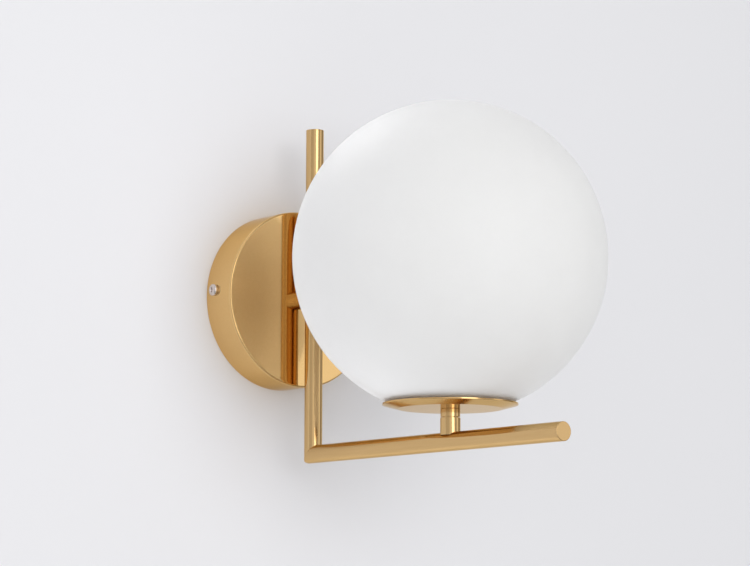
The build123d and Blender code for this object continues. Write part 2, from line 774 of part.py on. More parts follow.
# ---- All the pieces --------------------------------------------------------------------
def all_pieces():
    return {
        "wall_bracket": wall_bracket(),
        "earth_screw": earth_screw(),
        "earth_tag": earth_tag(),
        "terminal_block": terminal_block(),
        "terminal_inserts": terminal_inserts(),
        "terminal_screws": terminal_screws(),
        "block_screw": block_screw(),
        "wall_cover": wall_cover(),
        "cover_screw_left": side_screw(to_the_left),
        "cover_screw_right": side_screw(to_the_right),
        "arm_nipple": arm_nipple(),
        "arm_lock_washer": arm_lock_washer(),
        "arm_nut": arm_nut(),
        "arm_hub": arm_hub(),
        "vertical_tube": vertical_tube(),
        "horizontal_tube": horizontal_tube(),
        "top_plug": top_plug(),
        "front_plug": front_plug(),
        "riser_stem": riser_stem(),
        "riser_collar": riser_collar(),
        "lamp_nipple": lamp_nipple(),
        "fitter_dish": fitter_dish(),
        "globe_ring": globe_ring(),
        "lamp_lock_washer": lamp_lock_washer(),
        "lamp_nut": lamp_nut(),
        "globe_gasket": globe_gasket(),
        "glass_globe": glass_globe(),
        "holder_base": holder_base(),
        "holder_insert": holder_insert(),
        "holder_terminals": holder_terminals(),
        "holder_sleeve": holder_sleeve(),
        "holder_screw_shell": holder_screw_shell(),
        "holder_contact": holder_contact(),
        "bulb_tip": bulb_tip(),
        "bulb_insulator": bulb_insulator(),
        "bulb_cap": bulb_cap(),
        "bulb_housing": bulb_housing(),
        "bulb_dome": bulb_dome(),
        "live_lead": arm_lead(-1, 0),
        "neutral_lead": arm_lead(1, 1),
        "earth_lead": earth_lead(),
    }


os.makedirs("parts", exist_ok=True)
for name, piece in all_pieces().items():
    export_step(piece, f"parts/{name}.step")
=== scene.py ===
import json
from math import atan2, ceil, cos, pi, radians, sin, sqrt, tan

import bmesh
import bpy
from mathutils import Matrix, Vector


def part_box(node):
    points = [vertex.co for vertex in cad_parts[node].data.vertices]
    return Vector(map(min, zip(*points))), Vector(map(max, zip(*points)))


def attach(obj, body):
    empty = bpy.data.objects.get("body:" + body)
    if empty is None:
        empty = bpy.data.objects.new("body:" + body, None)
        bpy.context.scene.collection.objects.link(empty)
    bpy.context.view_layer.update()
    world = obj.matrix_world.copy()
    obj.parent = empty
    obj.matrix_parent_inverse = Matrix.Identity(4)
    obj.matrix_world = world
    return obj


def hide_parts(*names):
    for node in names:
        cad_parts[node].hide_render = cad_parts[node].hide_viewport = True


# Looks of the globe wall light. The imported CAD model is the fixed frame. The polished metal, the
# glass, the screws, the threaded tubes and the lampholder's turned pieces are remade here as fine
# meshes that fill the same space. The other pieces keep their CAD meshes.
# Metres; +X right, +Y into the wall, +Z up.

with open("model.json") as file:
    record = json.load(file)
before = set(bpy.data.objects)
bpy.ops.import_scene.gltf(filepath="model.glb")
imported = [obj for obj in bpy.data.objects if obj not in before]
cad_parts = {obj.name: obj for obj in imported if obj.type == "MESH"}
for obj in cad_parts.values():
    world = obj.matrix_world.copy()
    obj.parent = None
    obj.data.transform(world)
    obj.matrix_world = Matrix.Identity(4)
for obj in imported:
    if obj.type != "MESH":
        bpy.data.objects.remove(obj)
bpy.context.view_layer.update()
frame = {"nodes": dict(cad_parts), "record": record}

MM = 0.001

# ---- Sizes read from the frame ---------------------------------------------------------
cover_low, cover_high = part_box("wall_cover")
tube_low, tube_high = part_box("vertical_tube")
front_low, front_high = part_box("front_plug")
top_low, top_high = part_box("top_plug")
hub_low, hub_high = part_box("arm_hub")
riser_low, riser_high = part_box("riser_stem")
collar_low, collar_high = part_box("riser_collar")
dish_low, dish_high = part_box("fitter_dish")
globe_low, globe_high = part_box("glass_globe")
left_screw_low, left_screw_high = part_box("cover_screw_left")

COVER_RADIUS = cover_high.x
COVER_DEPTH = -cover_low.y
TUBE_RADIUS = tube_high.x
ARM_Y = (tube_low.y + tube_high.y) / 2
ARM_TOP = top_high.z
LOWER_Z = (front_low.z + front_high.z) / 2
FRONT_Y = front_low.y
GLOBE_RADIUS = globe_high.x
GLOBE_Y = (globe_low.y + globe_high.y) / 2
GLOBE_Z = globe_high.z - GLOBE_RADIUS
GROUND_RADIUS = sqrt(GLOBE_RADIUS ** 2 - (GLOBE_Z - globe_low.z) ** 2)

# ---- Sizes of the finish ---------------------------------------------------------------
COVER_SHEET = 1.0 * MM
COVER_EDGE = 1.4 * MM
COVER_RIM_EDGE = 0.25 * MM
TUBE_WALL = 1.0 * MM
CORNER_FLAT = 1.2 * MM       # how far the outer corner of the mitre is dressed back
SEAM_WIDTH = 0.10 * MM       # the fine line where two brazed pieces meet
SEAM_DEPTH = 0.05 * MM
SEAM_GUARD = 4               # of its width, to the row that keeps the tube looking straight
PLUG_FLANGE = 1.2 * MM
PLUG_SLIP = 0.1 * MM
PLUG_SEAM = 0.06 * MM
EDGE_BREAK = 0.35 * MM
SLEEVE_EDGE = 0.12 * MM
SLEEVE_GUARD = 3             # of its edge, to the row that keeps the sleeve looking straight
HUB_THREAD = 5.0 * MM        # how far the threaded tube reaches into the hub
RISER_FLOOR = 1.5 * MM       # from the lower tube up to the end of the riser's thread
DISH_SHEET = 1.0 * MM
DISH_RISE = 2.5 * MM
DISH_FLOOR = 33.1 * MM
DISH_BEND = 1.2 * MM
DISH_EDGE = 0.15 * MM
GLASS = 3.0 * MM
MOUTH_RADIUS = 28.0 * MM
MOUTH_EDGE = 0.6 * MM
NECK_EDGE = 1.2 * MM
NECK_HEIGHT = 11.0 * MM
GROOVE_DEPTH = 1.2 * MM      # of the groove between the riser's two pieces
GROOVE_HEIGHT = 0.5 * MM
COLLAR_EDGE = 0.15 * MM
COLLAR_TOP_EDGE = 0.2 * MM
WIRE_HOLE = 3.2 * MM
NIPPLE_HOLE = 5.2 * MM
THREAD_HOLE = 5.05 * MM
SIDE_HOLE = 2.2 * MM

LEAST_RADIUS = 0.001 * MM    # keeps a point on the axis where it is
SKIN = 0.02 * MM             # how near a wall a point must be to belong to it
M4 = (4.0 * MM, 0.7 * MM)    # diameter and pitch
M3 = (3.0 * MM, 0.5 * MM)
PAN_HEAD = (8.0 * MM, 2.6 * MM)
SMALL_HEAD = (4.4 * MM, 1.5 * MM)
DOME_SHARE = 0.6             # rounding of a screw's head, as a share of its height
TIP_SHARE = 0.1
RECESS_REACH = 0.29          # of the head's width
RECESS_WIDTH = 0.125         # of the screw's diameter
RECESS_DEPTH = 0.36          # of the head's height
RECESS_TAPER = 0.55
THREAD_SHARE = 0.55          # depth of a cut thread, as a share of its pitch
ROWS_PER_PITCH = 8
NIPPLE_RADIUS = 5.0 * MM
NIPPLE_BORE = 4.0 * MM
NIPPLE_PITCH = 1.0 * MM
NIPPLE_CHAMFER = 0.4 * MM
TOOTH_SHARE = 0.35           # of the washer's band
TOOTH_REACH = 1.2            # length of a tooth, as a share of what shows
TOOTH_WIDTH = 0.9            # of half its part of the rim
TOOTH_SHEET = 0.6            # of the washer's sheet
TOOTH_TWIST = radians(9)
WASHER_TEETH = 14
LAMP_PITCH = 2.82 * MM
LAMP_THREAD = 0.3 * MM
LAMP_BAND = 0.6 * MM
LAMP_RUN_IN = 1.2 * MM
LAMP_RUN_OUT = 1.5 * MM
CAP_SHEET = 0.4 * MM
SHELL_SHEET = 0.5 * MM
SHELL_HOLE = 4.0 * MM
SHELL_SLIP = 0.1 * MM
HOLDER_WALL = 1.6 * MM
SKIRT_EDGE = 0.2 * MM
SKIRT_PITCH = 2.0 * MM       # of the rows on the plain skirt
OPENING_EDGE = 0.3 * MM
GRIP_RIBS = 18
GRIP_DEPTH = 0.64 * MM
GRIP_START = 4.2 * MM
GRIP_LENGTH = 21.0 * MM
GRIP_FADE = 0.5 * MM

TURN_STEPS = 128             # sides of the turned pieces
SCREW_STEPS = 48
NIPPLE_STEPS = 64
GRIP_STEPS = 288
COVER_STEPS = 288
GLOBE_STEPS = 192
GLOBE_ARC_STEPS = 90
DRILL_STEPS = 64
ARC_STEP = radians(11)
LEAST_ARC_STEPS = 3
ARC_GUARD = 0.4              # of an arc's reach, to the point that keeps a flat looking flat
SHARP_EDGE = radians(35)
MERGE_DISTANCE = 1e-7

OUT_OF_WALL = Matrix.Rotation(pi / 2, 4, "X")      # turns +Z towards the room
TO_THE_LEFT = Matrix.Rotation(-pi / 2, 4, "Y")
TO_THE_RIGHT = Matrix.Rotation(pi / 2, 4, "Y")


# ---- Mesh helpers ----------------------------------------------------------------------
def mesh_piece(name, points, faces):
    """A piece from points and faces that are already in their place."""
    mesh = bpy.data.meshes.new(name)
    mesh.from_pydata(points, [], faces)
    piece = bpy.data.objects.new(name, mesh)
    bpy.context.scene.collection.objects.link(piece)
    return piece


def tidy_mesh(piece):
    """Merges doubles, turns the normals outwards and smooths all but the sharp edges."""
    work = bmesh.new()
    work.from_mesh(piece.data)
    bmesh.ops.remove_doubles(work, verts=work.verts, dist=MERGE_DISTANCE)
    bmesh.ops.dissolve_degenerate(work, edges=work.edges, dist=MERGE_DISTANCE)
    bmesh.ops.recalc_face_normals(work, faces=work.faces)
    work.to_mesh(piece.data)
    work.free()
    piece.data.shade_smooth()
    piece.data.set_sharp_from_angle(angle=SHARP_EDGE)
    return piece


def rounded(corners):
    """An outline of (radius, height, fillet) corners, with an arc at each filleted corner.

    A guard point beside each arc keeps the flats that it joins looking flat.
    """
    outline = []
    for i, (x, y, fillet) in enumerate(corners):
        here = Vector((x, y))
        if not fillet:
            outline.append((x, y))
            continue
        before = (Vector(corners[i - 1][:2]) - here).normalized()
        after = (Vector(corners[(i + 1) % len(corners)][:2]) - here).normalized()
        half = before.angle(after) / 2
        reach = fillet / tan(half)
        middle = here + (before + after).normalized() * fillet / sin(half)
        first = here + before * reach - middle
        last = here + after * reach - middle
        steps = max(LEAST_ARC_STEPS, ceil((pi - 2 * half) / ARC_STEP))
        outline.append(tuple(here + before * reach * (1 + ARC_GUARD)))
        for step in range(steps + 1):
            share = step / steps
            spoke = (first * sin((1 - share) * (pi - 2 * half)) +
                     last * sin(share * (pi - 2 * half))) / sin(pi - 2 * half)
            outline.append(tuple(middle + spoke))
        outline.append(tuple(here + after * reach * (1 + ARC_GUARD)))
    return outline


def ring_faces(rows, steps, closed=True):
    """The faces between rows of points, and from the last row to the first where closed."""
    faces = []
    for row in range(rows if closed else rows - 1):
        below, above = row * steps, (row + 1) % rows * steps
        for i in range(steps):
            j = (i + 1) % steps
            faces.append((below + i, below + j, above + j, above + i))
    return faces


def turned(name, outline, place, steps=TURN_STEPS, closed=True):
    """A turned piece: a (radius, height) outline carried round Z, then put in its place."""
    points = []
    for radius, height in outline:
        for i in range(steps):
            turn = 2 * pi * i / steps
            points.append(place @ Vector((radius * cos(turn), radius * sin(turn), height)))
    return tidy_mesh(mesh_piece(name, points, ring_faces(len(outline), steps, closed)))


def settled(piece):
    """Keeps what a piece's modifiers make as its plain mesh."""
    graph = bpy.context.evaluated_depsgraph_get()
    mesh = bpy.data.meshes.new_from_object(piece.evaluated_get(graph))
    piece.modifiers.clear()
    piece.data = mesh
    return piece


def cut_away(piece, tool):
    """Cuts one closed shape out of another, and uses up the tool."""
    cut = piece.modifiers.new("cut", "BOOLEAN")
    cut.object = tool
    cut.operation = "DIFFERENCE"
    cut.solver = "EXACT"
    settled(piece)
    bpy.data.objects.remove(tool)
    return piece


def bored(piece, place, radius, length):
    """Cuts a round hole that starts at a place and runs along its Z axis."""
    outline = [(0, 0), (radius, 0), (radius, length), (0, length)]
    return cut_away(piece, turned("drill", outline, place, DRILL_STEPS, closed=False))


# ---- Threads, grips and teeth, made by rule --------------------------------------------
def rule_tree(name, **sizes):
    """An empty tree that takes a mesh and named sizes, and gives a mesh."""
    tree = bpy.data.node_groups.new(name, "GeometryNodeTree")
    tree.interface.new_socket("Geometry", in_out="INPUT", socket_type="NodeSocketGeometry")
    for label, kind in sizes.items():
        tree.interface.new_socket(label, in_out="INPUT", socket_type="NodeSocket" + kind)
    tree.interface.new_socket("Geometry", in_out="OUTPUT", socket_type="NodeSocketGeometry")
    return tree, tree.nodes.new("NodeGroupInput").outputs, tree.nodes.new("NodeGroupOutput")


def sum_of(tree, operation, *values):
    """One step of arithmetic on numbers and sockets."""
    node = tree.nodes.new("ShaderNodeMath")
    node.operation = operation
    for i, value in enumerate(values):
        if isinstance(value, (int, float)):
            node.inputs[i].default_value = value
        else:
            tree.links.new(value, node.inputs[i])
    return node.outputs["Value"]


def end_of_tree(tree, made, material, result):
    """Every tree ends with real meshes in their own finish."""
    real = tree.nodes.new("GeometryNodeRealizeInstances")
    dress = tree.nodes.new("GeometryNodeSetMaterial")
    tree.links.new(made, real.inputs["Geometry"])
    tree.links.new(real.outputs["Geometry"], dress.inputs["Geometry"])
    tree.links.new(material, dress.inputs["Material"])
    tree.links.new(dress.outputs["Geometry"], result.inputs["Geometry"])


def polar_place(tree):
    """Turn, radius and height of each point about the Z axis; a whole turn counts as 1."""
    place = tree.nodes.new("GeometryNodeInputPosition")
    split = tree.nodes.new("ShaderNodeSeparateXYZ")
    tree.links.new(place.outputs["Position"], split.inputs["Vector"])
    x, y, z = (split.outputs[axis] for axis in "XYZ")
    turn = sum_of(tree, "DIVIDE", sum_of(tree, "ARCTAN2", y, x), 2 * pi)
    radius = sum_of(tree, "SQRT", sum_of(tree, "ADD", sum_of(tree, "MULTIPLY", x, x),
                                         sum_of(tree, "MULTIPLY", y, y)))
    return (x, y, z), turn, radius


def pressed_in(tree, geometry, place, radius, depth):
    """Moves each point towards the Z axis by a depth."""
    share = sum_of(tree, "DIVIDE", depth, sum_of(tree, "MAXIMUM", radius, LEAST_RADIUS))
    back = sum_of(tree, "MULTIPLY", share, -1)
    move = tree.nodes.new("ShaderNodeCombineXYZ")
    tree.links.new(sum_of(tree, "MULTIPLY", place[0], back), move.inputs["X"])
    tree.links.new(sum_of(tree, "MULTIPLY", place[1], back), move.inputs["Y"])
    shift = tree.nodes.new("GeometryNodeSetPosition")
    tree.links.new(geometry, shift.inputs["Geometry"])
    tree.links.new(move.outputs["Vector"], shift.inputs["Offset"])
    return shift.outputs["Geometry"]


def faded(tree, height, start, end, length):
    """1 between two heights, falling to 0 over a length at each end."""
    share = 1
    for gap in (sum_of(tree, "SUBTRACT", height, start), sum_of(tree, "SUBTRACT", end, height)):
        rise = sum_of(tree, "DIVIDE", gap, length)
        rise = sum_of(tree, "MINIMUM", sum_of(tree, "MAXIMUM", rise, 0), 1)
        share = sum_of(tree, "MULTIPLY", rise, share)
    return share


def thread_tree():
    """Cuts or rolls a thread into the wall of a turned piece, within a band of radii."""
    tree, sizes, result = rule_tree("thread", Radius="Float", Band="Float", Depth="Float",
                                    Pitch="Float", Start="Float", End="Float", Rolled="Float",
                                    Material="Material")
    place, turn, radius = polar_place(tree)
    phase = sum_of(tree, "SUBTRACT", sum_of(tree, "DIVIDE", place[2], sizes["Pitch"]), turn)
    cut = sum_of(tree, "MULTIPLY", sum_of(tree, "PINGPONG", phase, 0.5), 2)
    wave = sum_of(tree, "COSINE", sum_of(tree, "MULTIPLY", phase, 2 * pi))
    rolled = sum_of(tree, "MULTIPLY", sum_of(tree, "SUBTRACT", 1, wave), 0.5)
    gap = sum_of(tree, "MULTIPLY", sum_of(tree, "SUBTRACT", rolled, cut), sizes["Rolled"])
    depth = sum_of(tree, "MULTIPLY", sum_of(tree, "ADD", cut, gap), sizes["Depth"])
    run_out = faded(tree, place[2], sizes["Start"], sizes["End"], sizes["Pitch"])
    in_band = sum_of(tree, "LESS_THAN", sum_of(
        tree, "ABSOLUTE", sum_of(tree, "SUBTRACT", radius, sizes["Radius"])), sizes["Band"])
    depth = sum_of(tree, "MULTIPLY", sum_of(tree, "MULTIPLY", depth, run_out), in_band)
    made = pressed_in(tree, sizes["Geometry"], place, radius, depth)
    end_of_tree(tree, made, sizes["Material"], result)
    return tree


def grip_tree():
    """Presses a row of upright grooves into the wall of a turned piece."""
    tree, sizes, result = rule_tree("grip", Radius="Float", Band="Float", Depth="Float",
                                    Count="Int", Share="Float", Start="Float", End="Float",
                                    Fade="Float", Material="Material")
    place, turn, radius = polar_place(tree)
    phase = sum_of(tree, "PINGPONG", sum_of(tree, "MULTIPLY", turn, sizes["Count"]), 0.5)
    across = sum_of(tree, "MINIMUM", sum_of(tree, "DIVIDE", phase, sizes["Share"]), 1)
    hollow = sum_of(tree, "SQRT", sum_of(
        tree, "SUBTRACT", 1, sum_of(tree, "MULTIPLY", across, across)))
    depth = sum_of(tree, "MULTIPLY", hollow, sizes["Depth"])
    run_out = faded(tree, place[2], sizes["Start"], sizes["End"], sizes["Fade"])
    in_band = sum_of(tree, "LESS_THAN", sum_of(
        tree, "ABSOLUTE", sum_of(tree, "SUBTRACT", radius, sizes["Radius"])), sizes["Band"])
    depth = sum_of(tree, "MULTIPLY", sum_of(tree, "MULTIPLY", depth, run_out), in_band)
    made = pressed_in(tree, sizes["Geometry"], place, radius, depth)
    end_of_tree(tree, made, sizes["Material"], result)
    return tree


def tooth_tree():
    """Sets twisted teeth round the rim of a washer."""
    tree, sizes, result = rule_tree("teeth", Count="Int", Radius="Float", Tooth="Vector",
                                    Twist="Float", Height="Float", Material="Material")
    tooth = tree.nodes.new("GeometryNodeMeshCube")
    tree.links.new(sizes["Tooth"], tooth.inputs["Size"])
    circle = tree.nodes.new("GeometryNodeMeshCircle")
    tree.links.new(sizes["Count"], circle.inputs["Vertices"])
    tree.links.new(sizes["Radius"], circle.inputs["Radius"])
    index = tree.nodes.new("GeometryNodeInputIndex")
    angle = sum_of(tree, "MULTIPLY", sum_of(tree, "DIVIDE", index.outputs["Index"],
                                            sizes["Count"]), 2 * pi)
    turn = tree.nodes.new("ShaderNodeCombineXYZ")
    tree.links.new(sizes["Twist"], turn.inputs["X"])
    tree.links.new(angle, turn.inputs["Z"])
    rows = tree.nodes.new("GeometryNodeInstanceOnPoints")
    tree.links.new(circle.outputs["Mesh"], rows.inputs["Points"])
    tree.links.new(tooth.outputs["Mesh"], rows.inputs["Instance"])
    tree.links.new(turn.outputs["Vector"], rows.inputs["Rotation"])
    lift = tree.nodes.new("ShaderNodeCombineXYZ")
    tree.links.new(sizes["Height"], lift.inputs["Z"])
    shift = tree.nodes.new("GeometryNodeTransform")
    tree.links.new(rows.outputs["Instances"], shift.inputs["Geometry"])
    tree.links.new(lift.outputs["Vector"], shift.inputs["Translation"])
    both = tree.nodes.new("GeometryNodeJoinGeometry")
    tree.links.new(sizes["Geometry"], both.inputs["Geometry"])
    tree.links.new(shift.outputs["Geometry"], both.inputs["Geometry"])
    end_of_tree(tree, both.outputs["Geometry"], sizes["Material"], result)
    return tree


def made_by_rule(piece, tree, **sizes):
    """Runs a tree on a piece and keeps the result as a plain mesh."""
    rule = piece.modifiers.new(tree.name, "NODES")
    rule.node_group = tree
    for socket in tree.interface.items_tree:
        if socket.in_out == "INPUT" and socket.name in sizes:
            rule[socket.identifier] = sizes[socket.name]
    return settled(piece)


thread_rule = thread_tree()
grip_rule = grip_tree()
tooth_rule = tooth_tree()


def on_globe_axis(height):
    """Upright on the globe's axis, from a height."""
    return Matrix.Translation((0, GLOBE_Y, height))


def on_arm_axis(depth):
    """On the hub's axis, facing the room, from a depth."""
    return Matrix.Translation((0, depth, 0)) @ OUT_OF_WALL


# ---- Materials -------------------------------------------------------------------------
TONE_START, TONE_END = 0.3, 0.7      # the part of the noise that the tones are spread over
NOISE_DETAIL = 4.0
RELIEF = 0.02 * MM


def new_finish(name):
    """An empty material, its nodes and its links."""
    finish = bpy.data.materials.new(name)
    finish.use_nodes = True
    return finish, finish.node_tree.nodes, finish.node_tree.links


def set_shader(shader, **values):
    """Sets constants on a shader's sockets, named with _ for each space."""
    for label, value in values.items():
        shader.inputs[label.replace("_", " ")].default_value = value


def object_pattern(nodes, links, kind, stretch, **settings):
    """A texture on object coordinates, stretched along the axes."""
    place = nodes.new("ShaderNodeTexCoord")
    mapping = nodes.new("ShaderNodeMapping")
    mapping.inputs["Scale"].default_value = stretch
    pattern = nodes.new(kind)
    for label, value in settings.items():
        pattern.inputs[label].default_value = value
    links.new(place.outputs["Object"], mapping.inputs["Vector"])
    links.new(mapping.outputs["Vector"], pattern.inputs["Vector"])
    return pattern


def ranged(nodes, links, source, low, high, start=TONE_START, end=TONE_END):
    """A value spread from one range over another."""
    span = nodes.new("ShaderNodeMapRange")
    span.inputs["From Min"].default_value = start
    span.inputs["From Max"].default_value = end
    span.inputs["To Min"].default_value = low
    span.inputs["To Max"].default_value = high
    links.new(source, span.inputs["Value"])
    return span.outputs["Result"]


def bumped(nodes, links, source, shader, strength, distance):
    """Fine relief on a shader."""
    bump = nodes.new("ShaderNodeBump")
    bump.inputs["Strength"].default_value = strength
    bump.inputs["Distance"].default_value = distance
    links.new(source, bump.inputs["Height"])
    links.new(bump.outputs["Normal"], shader.inputs["Normal"])


def two_tones(nodes, links, source, dark, light, shader):
    """A shader's colour, from a dark tone to a light one."""
    ramp = nodes.new("ShaderNodeValToRGB")
    stops = ramp.color_ramp.elements
    for stop, position, tone in zip(stops, (TONE_START, TONE_END), (dark, light)):
        stop.position = position
        stop.color = (*tone, 1)
    links.new(source, ramp.inputs["Fac"])
    links.new(ramp.outputs["Color"], shader.inputs["Base Color"])


def surface(name, dark, light, rough, scale, bump=0.0, depth=RELIEF, stretch=(1, 1, 1),
            metal=0.0, **shader_values):
    """A finish whose tone, roughness and relief follow one fine noise."""
    finish, nodes, links = new_finish(name)
    shader = nodes["Principled BSDF"]
    set_shader(shader, Metallic=metal, **shader_values)
    grain = object_pattern(nodes, links, "ShaderNodeTexNoise", stretch, Scale=scale,
                           Detail=NOISE_DETAIL)
    two_tones(nodes, links, grain.outputs["Fac"], dark, light, shader)
    links.new(ranged(nodes, links, grain.outputs["Fac"], *rough), shader.inputs["Roughness"])
    if bump:
        bumped(nodes, links, grain.outputs["Fac"], shader, bump, depth)
    return finish


def lacquered_brass(name, dark, light, rough, stretch=(1, 1, 1)):
    """Polished brass under clear lacquer, with a faint grain along the way it was drawn."""
    return surface(name, dark, light, rough, GRAIN_SCALE, bump=0.03, depth=GRAIN_DEPTH,
                   stretch=stretch, metal=1.0, Specular_Tint=EDGE_TINT)


GRAIN_SCALE = 900
GRAIN_DEPTH = 0.006 * MM
EDGE_TINT = (0.88, 0.76, 0.55, 1)     # keeps the brass as warm where it is seen edge-on
TUBE_TONES = (0.62, 0.41, 0.185), (0.65, 0.435, 0.205)
# The cover is the same brass as the tubes but has a lighter tone: painted brightness in the
# reflections on its face.
COVER_TONES_PAINTED_BRIGHTER = (0.775, 0.505, 0.215), (0.80, 0.53, 0.235)
brass_upright = lacquered_brass("brass_upright", *TUBE_TONES, (0.09, 0.14), (1, 1, 0.04))
brass_lower = lacquered_brass("brass_lower", *TUBE_TONES, (0.12, 0.18), (1, 0.04, 1))
brass_turned = lacquered_brass("brass_turned", *TUBE_TONES, (0.12, 0.18))
brass_cover = lacquered_brass("brass_cover", *COVER_TONES_PAINTED_BRIGHTER, (0.06, 0.10))
opal_glass = surface("opal_glass", (0.915, 0.91, 0.90), (0.925, 0.92, 0.91), (0.46, 0.54), 60,
                     bump=0.03, depth=0.05 * MM, Subsurface_Weight=1.0, Subsurface_Scale=0.008,
                     Subsurface_Radius=(1, 1, 1), Specular_IOR_Level=0.3)
zinc_plate = surface("zinc_plate", (0.58, 0.60, 0.63), (0.70, 0.71, 0.72), (0.28, 0.40), 350,
                     bump=0.1, metal=1.0)
nickel_plate = surface("nickel_plate", (0.66, 0.59, 0.56), (0.74, 0.67, 0.64), (0.14, 0.24), 500,
                       bump=0.05, metal=1.0)
raw_brass = surface("raw_brass", (0.70, 0.52, 0.26), (0.80, 0.62, 0.34), (0.24, 0.36), 420,
                    bump=0.08, metal=1.0)
white_plastic = surface("white_plastic", (0.84, 0.84, 0.81), (0.88, 0.88, 0.85), (0.38, 0.5),
                        700, bump=0.08)
holder_plastic = surface("holder_plastic", (0.78, 0.78, 0.74), (0.81, 0.81, 0.77), (0.22, 0.3),
                         500, bump=0.05)
ceramic = surface("ceramic", (0.86, 0.84, 0.78), (0.92, 0.90, 0.85), (0.12, 0.2), 260,
                  bump=0.06, Coat_Weight=0.4)
dome_plastic = surface("dome_plastic", (0.90, 0.90, 0.88), (0.93, 0.93, 0.91), (0.28, 0.36),
                       420, bump=0.04, Subsurface_Weight=0.3, Subsurface_Scale=0.004)
black_glass = surface("black_glass", (0.015, 0.015, 0.018), (0.03, 0.03, 0.034), (0.08, 0.18),
                      600, bump=0.05)
silicone = surface("silicone", (0.72, 0.73, 0.71), (0.82, 0.82, 0.80), (0.45, 0.6), 500,
                   bump=0.1, Subsurface_Weight=0.2, Subsurface_Scale=0.002)


def lead_cover(name, dark, light):
    """The soft insulation of a lead."""
    return surface(name, dark, light, (0.45, 0.6), 800, 0.08)


lead_brown = lead_cover("lead_brown", (0.13, 0.05, 0.02), (0.17, 0.07, 0.03))
lead_blue = lead_cover("lead_blue", (0.02, 0.09, 0.32), (0.04, 0.12, 0.40))
lead_green = lead_cover("lead_green", (0.08, 0.30, 0.04), (0.12, 0.38, 0.06))
lead_yellow = lead_cover("lead_yellow", (0.74, 0.60, 0.04), (0.80, 0.66, 0.06))


def wear(piece, material):
    """Gives a piece one material, and no other."""
    piece.data.materials.clear()
    piece.data.materials.append(material)


def finish_piece(piece, node, body, material):
    """Gives a piece its material and its body, and hides the CAD node that it stands for."""
    wear(piece, material)
    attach(piece, body)
    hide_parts(node)
    return piece


# ---- Wall cover ------------------------------------------------------------------------
def wall_cover():
    """A spun cup, open to the wall, with a softly rounded front edge and a plain rim."""
    outer, inner = COVER_RADIUS, COVER_RADIUS - COVER_SHEET
    front, back = COVER_DEPTH, COVER_DEPTH - COVER_SHEET
    outline = rounded([
        (NIPPLE_HOLE, front, 0), (outer, front, COVER_EDGE), (outer, 0, COVER_RIM_EDGE),
        (inner, 0, COVER_RIM_EDGE), (inner, back, COVER_EDGE - COVER_SHEET),
        (NIPPLE_HOLE, back, 0)])
    cover = turned("cover", outline, on_arm_axis(0), COVER_STEPS)
    height = (left_screw_low.z + left_screw_high.z) / 2
    depth = (left_screw_low.y + left_screw_high.y) / 2
    start = Matrix.Translation((-2 * COVER_RADIUS, depth, height)) @ TO_THE_RIGHT
    cover = bored(cover, start, SIDE_HOLE, 4 * COVER_RADIUS)
    return finish_piece(tidy_mesh(cover), "wall_cover", "lamp_body", brass_cover)


# ---- Arm -------------------------------------------------------------------------------
def mitred_tube(name, free_end, swap):
    """A tube whose far end lies on the mitre plane, with the outer corner dressed flat.

    It's drawn as the upright tube; swap exchanges depth and height for the lower one.
    """
    reach = TUBE_RADIUS * sqrt(2) - CORNER_FLAT
    crease = reach / sqrt(2)
    steps = TURN_STEPS

    def end_height(offset, inset):
        return max(-offset, offset - 2 * crease) + inset

    inner = TUBE_RADIUS - TUBE_WALL
    rows = ((inner, 0), (TUBE_RADIUS - SEAM_DEPTH, 0), (TUBE_RADIUS, SEAM_WIDTH),
            (TUBE_RADIUS, SEAM_GUARD * SEAM_WIDTH), (TUBE_RADIUS, None), (inner, None))
    points = []
    for radius, inset in rows:
        for i in range(steps):
            turn = 2 * pi * i / steps
            x, offset = radius * cos(turn), radius * sin(turn)
            height = free_end if inset is None else end_height(offset, inset)
            depth, rise = (-height, -offset) if swap else (offset, height)
            points.append(Vector((x, ARM_Y + depth, LOWER_Z + rise)))
    return tidy_mesh(mesh_piece(name, points, ring_faces(len(rows), steps)))


def vertical_tube():
    """The upright tube, with the hole where the leads come in from the hub."""
    tube = mitred_tube("upright_tube", tube_high.z - LOWER_Z, False)
    hole = Matrix.Translation((0, -COVER_DEPTH, 0)) @ OUT_OF_WALL
    tube = bored(tube, hole, WIRE_HOLE, -COVER_DEPTH - ARM_Y)
    return finish_piece(tidy_mesh(tube), "vertical_tube", "lamp_body", brass_upright)


def horizontal_tube():
    """The lower tube, with the hole where the leads go up into the riser."""
    tube = mitred_tube("lower_tube", ARM_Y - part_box("horizontal_tube")[0].y, True)
    tube = bored(tube, on_globe_axis(LOWER_Z), WIRE_HOLE, 2 * TUBE_RADIUS)
    return finish_piece(tidy_mesh(tube), "horizontal_tube", "lamp_body", brass_lower)


def plug(name, node, place, length):
    """An end plug: a flange that is flush with the tube, and a spigot inside it."""
    spigot = TUBE_RADIUS - TUBE_WALL - PLUG_SLIP
    outline = rounded([
        (0, PLUG_FLANGE, 0), (TUBE_RADIUS, PLUG_FLANGE, EDGE_BREAK),
        (TUBE_RADIUS, 0, PLUG_SEAM), (spigot, 0, 0),
        (spigot, PLUG_FLANGE - length, EDGE_BREAK), (0, PLUG_FLANGE - length, 0)])
    piece = turned(name, outline, place, closed=False)
    return finish_piece(piece, node, "lamp_body", brass_turned)


def top_plug():
    place = Matrix.Translation((0, ARM_Y, ARM_TOP - PLUG_FLANGE))
    return plug("upright_tube_plug", "top_plug", place, top_high.z - top_low.z)


def front_plug():
    place = Matrix.Translation((0, FRONT_Y + PLUG_FLANGE, LOWER_Z)) @ OUT_OF_WALL
    return plug("lower_tube_plug", "front_plug", place, front_high.y - front_low.y)


